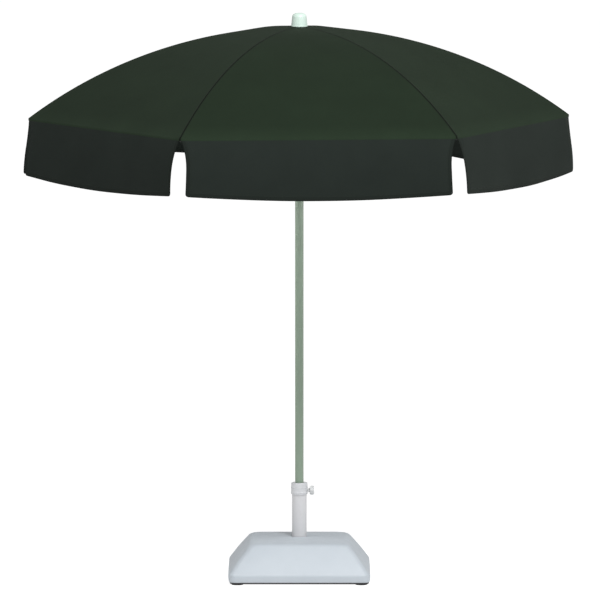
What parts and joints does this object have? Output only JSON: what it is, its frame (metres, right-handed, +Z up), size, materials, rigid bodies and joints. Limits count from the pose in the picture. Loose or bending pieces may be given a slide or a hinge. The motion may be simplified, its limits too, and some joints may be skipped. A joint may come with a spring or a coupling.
{
  "type": "patio umbrella with base",
  "caption": "Push-up patio umbrella with a domed cloth canopy and slit valance on ribs and stretchers, two-piece pole, and a square weighted base with clamp collar.",
  "frame": {"origin": "centre of the base on the ground", "axes": "+Z up along the pole; the sides of the square base lie along X and Y; the clamp knob is on the +X side"},
  "size_m": [2.403, 2.2052, 2.514],
  "materials": {
    "base_shell": "satin, faintly grained",
    "ballast_slab": "cast",
    "bottom_tray": "matte",
    "feet": "matte",
    "zinc": "zinc plated",
    "socket_tube": "satin",
    "bush": "matte",
    "collar": "satin",
    "knob": "satin",
    "pole": "satin",
    "plug": "matte",
    "crown": "satin",
    "finial": "satin",
    "frame": "satin",
    "canopy": "woven",
    "valance": "woven"
  },
  "bodies": {
    "base": {"base_shell": "base_shell", "ballast_slab": "ballast_slab", "bottom_tray": "bottom_tray", "feet": "feet", "tray_screws": "zinc", "socket_tube": "socket_tube", "flange_bolts": "zinc", "foot_bush": "bush", "collar_bush": "bush", "tube_collar": "collar"},
    "clamp": {"clamp_screw": "zinc", "clamp_knob": "knob"},
    "lower_pole": {"lower_pole": "pole", "pole_foot_plug": "plug", "joint_spigot": "zinc", "spigot_rivets": "pole"},
    "upper_pole": {"upper_pole": "pole", "catch_spring": "zinc", "crown_hub": "crown", "crown_pins": "zinc", "crown_stud": "zinc", "finial": "finial"},
    "runner": {"runner_body": "crown"},
    "rib_0": {"rib_0": "frame", "rib_tip_0": "crown", "rib_bracket_0": "frame", "canopy_0": "canopy"},
    "stretcher_0": {"stretcher_0": "frame"},
    "valance_0": {"valance_0": "valance"},
    "rib_1": {"rib_1": "frame", "rib_tip_1": "crown", "rib_bracket_1": "frame", "canopy_1": "canopy"},
    "stretcher_1": {"stretcher_1": "frame"},
    "valance_1": {"valance_1": "valance"},
    "rib_2": {"rib_2": "frame", "rib_tip_2": "crown", "rib_bracket_2": "frame", "canopy_2": "canopy"},
    "stretcher_2": {"stretcher_2": "frame"},
    "valance_2": {"valance_2": "valance"},
    "rib_3": {"rib_3": "frame", "rib_tip_3": "crown", "rib_bracket_3": "frame", "canopy_3": "canopy"},
    "stretcher_3": {"stretcher_3": "frame"},
    "valance_3": {"valance_3": "valance"},
    "rib_4": {"rib_4": "frame", "rib_tip_4": "crown", "rib_bracket_4": "frame", "canopy_4": "canopy"},
    "stretcher_4": {"stretcher_4": "frame"},
    "valance_4": {"valance_4": "valance"},
    "rib_5": {"rib_5": "frame", "rib_tip_5": "crown", "rib_bracket_5": "frame", "canopy_5": "canopy"},
    "stretcher_5": {"stretcher_5": "frame"},
    "valance_5": {"valance_5": "valance"}
  },
  "joints": [
    {"name": "clamp_turn", "type": "hinge", "parent": "base", "child": "clamp", "pos_m": [0.05, 0, 0.385], "axis": [1, 0, 0], "range_deg": [0, 720]},
    {"name": "pole_lift", "type": "slide", "parent": "base", "child": "lower_pole", "axis": [0, 0, 1], "range_m": [0, 0.38]},
    {"name": "canopy_turn", "type": "hinge", "parent": "lower_pole", "child": "upper_pole", "pos_m": [0, 0, 1.14], "axis": [0, 0, 1], "continuous": true},
    {"name": "runner_slide", "type": "slide", "parent": "upper_pole", "child": "runner", "axis": [0, 0, -1], "range_m": [0, 0.76187], "deforming": ["catch_spring"]},
    {"name": "rib_0_fold", "type": "hinge", "parent": "upper_pole", "child": "rib_0", "pos_m": [-0.01458, -0.03071, 2.44022], "axis": [0.9033, -0.4289, 0], "range_deg": [0, 66], "deforming": ["canopy_0"]},
    {"name": "stretcher_0_fold", "type": "hinge", "parent": "rib_0", "child": "stretcher_0", "pos_m": [-0.25517, -0.53739, 2.33201], "axis": [-0.9033, 0.4289, 0], "range_deg": [0, 114.88]},
    {"name": "valance_0_hang", "type": "hinge", "parent": "rib_0", "child": "valance_0", "pos_m": [-0.51446, -1.08346, 2.054], "axis": [-0.9033, 0.4289, 0], "range_deg": [0, 66], "deforming": ["valance_0"]},
    {"name": "rib_1_fold", "type": "hinge", "parent": "upper_pole", "child": "rib_1", "pos_m": [0.01931, -0.02799, 2.44022], "axis": [0.8231, 0.5678, 0], "range_deg": [0, 66], "deforming": ["canopy_1"]},
    {"name": "stretcher_1_fold", "type": "hinge", "parent": "rib_1", "child": "stretcher_1", "pos_m": [0.33781, -0.48968, 2.33201], "axis": [-0.8231, -0.5678, 0], "range_deg": [0, 114.88]},
    {"name": "valance_1_hang", "type": "hinge", "parent": "rib_1", "child": "valance_1", "pos_m": [0.68107, -0.98727, 2.054], "axis": [-0.8231, -0.5678, 0], "range_deg": [0, 66], "deforming": ["valance_1"]},
    {"name": "rib_2_fold", "type": "hinge", "parent": "upper_pole", "child": "rib_2", "pos_m": [0.03389, 0.00273, 2.44022], "axis": [-0.0802, 0.9968, 0], "range_deg": [0, 66], "deforming": ["canopy_2"]},
    {"name": "stretcher_2_fold", "type": "hinge", "parent": "rib_2", "child": "stretcher_2", "pos_m": [0.59298, 0.04771, 2.33201], "axis": [0.0802, -0.9968, 0], "range_deg": [0, 114.88]},
    {"name": "valance_2_hang", "type": "hinge", "parent": "rib_2", "child": "valance_2", "pos_m": [1.19554, 0.09619, 2.054], "axis": [0.0802, -0.9968, 0], "range_deg": [0, 66], "deforming": ["valance_2"]},
    {"name": "rib_3_fold", "type": "hinge", "parent": "upper_pole", "child": "rib_3", "pos_m": [0.01458, 0.03071, 2.44022], "axis": [-0.9033, 0.4289, 0], "range_deg": [0, 66], "deforming": ["canopy_3"]},
    {"name": "stretcher_3_fold", "type": "hinge", "parent": "rib_3", "child": "stretcher_3", "pos_m": [0.25517, 0.53739, 2.33201], "axis": [0.9033, -0.4289, 0], "range_deg": [0, 114.88]},
    {"name": "valance_3_hang", "type": "hinge", "parent": "rib_3", "child": "valance_3", "pos_m": [0.51446, 1.08346, 2.054], "axis": [0.9033, -0.4289, 0], "range_deg": [0, 66], "deforming": ["valance_3"]},
    {"name": "rib_4_fold", "type": "hinge", "parent": "upper_pole", "child": "rib_4", "pos_m": [-0.01931, 0.02799, 2.44022], "axis": [-0.8231, -0.5678, 0], "range_deg": [0, 66], "deforming": ["canopy_4"]},
    {"name": "stretcher_4_fold", "type": "hinge", "parent": "rib_4", "child": "stretcher_4", "pos_m": [-0.33781, 0.48968, 2.33201], "axis": [0.8231, 0.5678, 0], "range_deg": [0, 114.88]},
    {"name": "valance_4_hang", "type": "hinge", "parent": "rib_4", "child": "valance_4", "pos_m": [-0.68107, 0.98727, 2.054], "axis": [0.8231, 0.5678, 0], "range_deg": [0, 66], "deforming": ["valance_4"]},
    {"name": "rib_5_fold", "type": "hinge", "parent": "upper_pole", "child": "rib_5", "pos_m": [-0.03389, -0.00273, 2.44022], "axis": [0.0802, -0.9968, 0], "range_deg": [0, 66], "deforming": ["canopy_5"]},
    {"name": "stretcher_5_fold", "type": "hinge", "parent": "rib_5", "child": "stretcher_5", "pos_m": [-0.59298, -0.04771, 2.33201], "axis": [-0.0802, 0.9968, 0], "range_deg": [0, 114.88]},
    {"name": "valance_5_hang", "type": "hinge", "parent": "rib_5", "child": "valance_5", "pos_m": [-1.19554, -0.09619, 2.054], "axis": [-0.0802, 0.9968, 0], "range_deg": [0, 66], "deforming": ["valance_5"]}
  ],
  "couplings": [
    {"joint": "rib_0_fold", "follows": "runner_slide", "rad_per_m": 1.512},
    {"joint": "stretcher_0_fold", "follows": "runner_slide", "rad_per_m": 2.6318},
    {"joint": "valance_0_hang", "follows": "runner_slide", "rad_per_m": 1.512},
    {"joint": "rib_1_fold", "follows": "runner_slide", "rad_per_m": 1.512},
    {"joint": "stretcher_1_fold", "follows": "runner_slide", "rad_per_m": 2.6318},
    {"joint": "valance_1_hang", "follows": "runner_slide", "rad_per_m": 1.512},
    {"joint": "rib_2_fold", "follows": "runner_slide", "rad_per_m": 1.512},
    {"joint": "stretcher_2_fold", "follows": "runner_slide", "rad_per_m": 2.6318},
    {"joint": "valance_2_hang", "follows": "runner_slide", "rad_per_m": 1.512},
    {"joint": "rib_3_fold", "follows": "runner_slide", "rad_per_m": 1.512},
    {"joint": "stretcher_3_fold", "follows": "runner_slide", "rad_per_m": 2.6318},
    {"joint": "valance_3_hang", "follows": "runner_slide", "rad_per_m": 1.512},
    {"joint": "rib_4_fold", "follows": "runner_slide", "rad_per_m": 1.512},
    {"joint": "stretcher_4_fold", "follows": "runner_slide", "rad_per_m": 2.6318},
    {"joint": "valance_4_hang", "follows": "runner_slide", "rad_per_m": 1.512},
    {"joint": "rib_5_fold", "follows": "runner_slide", "rad_per_m": 1.512},
    {"joint": "stretcher_5_fold", "follows": "runner_slide", "rad_per_m": 2.6318},
    {"joint": "valance_5_hang", "follows": "runner_slide", "rad_per_m": 1.512}
  ]
}
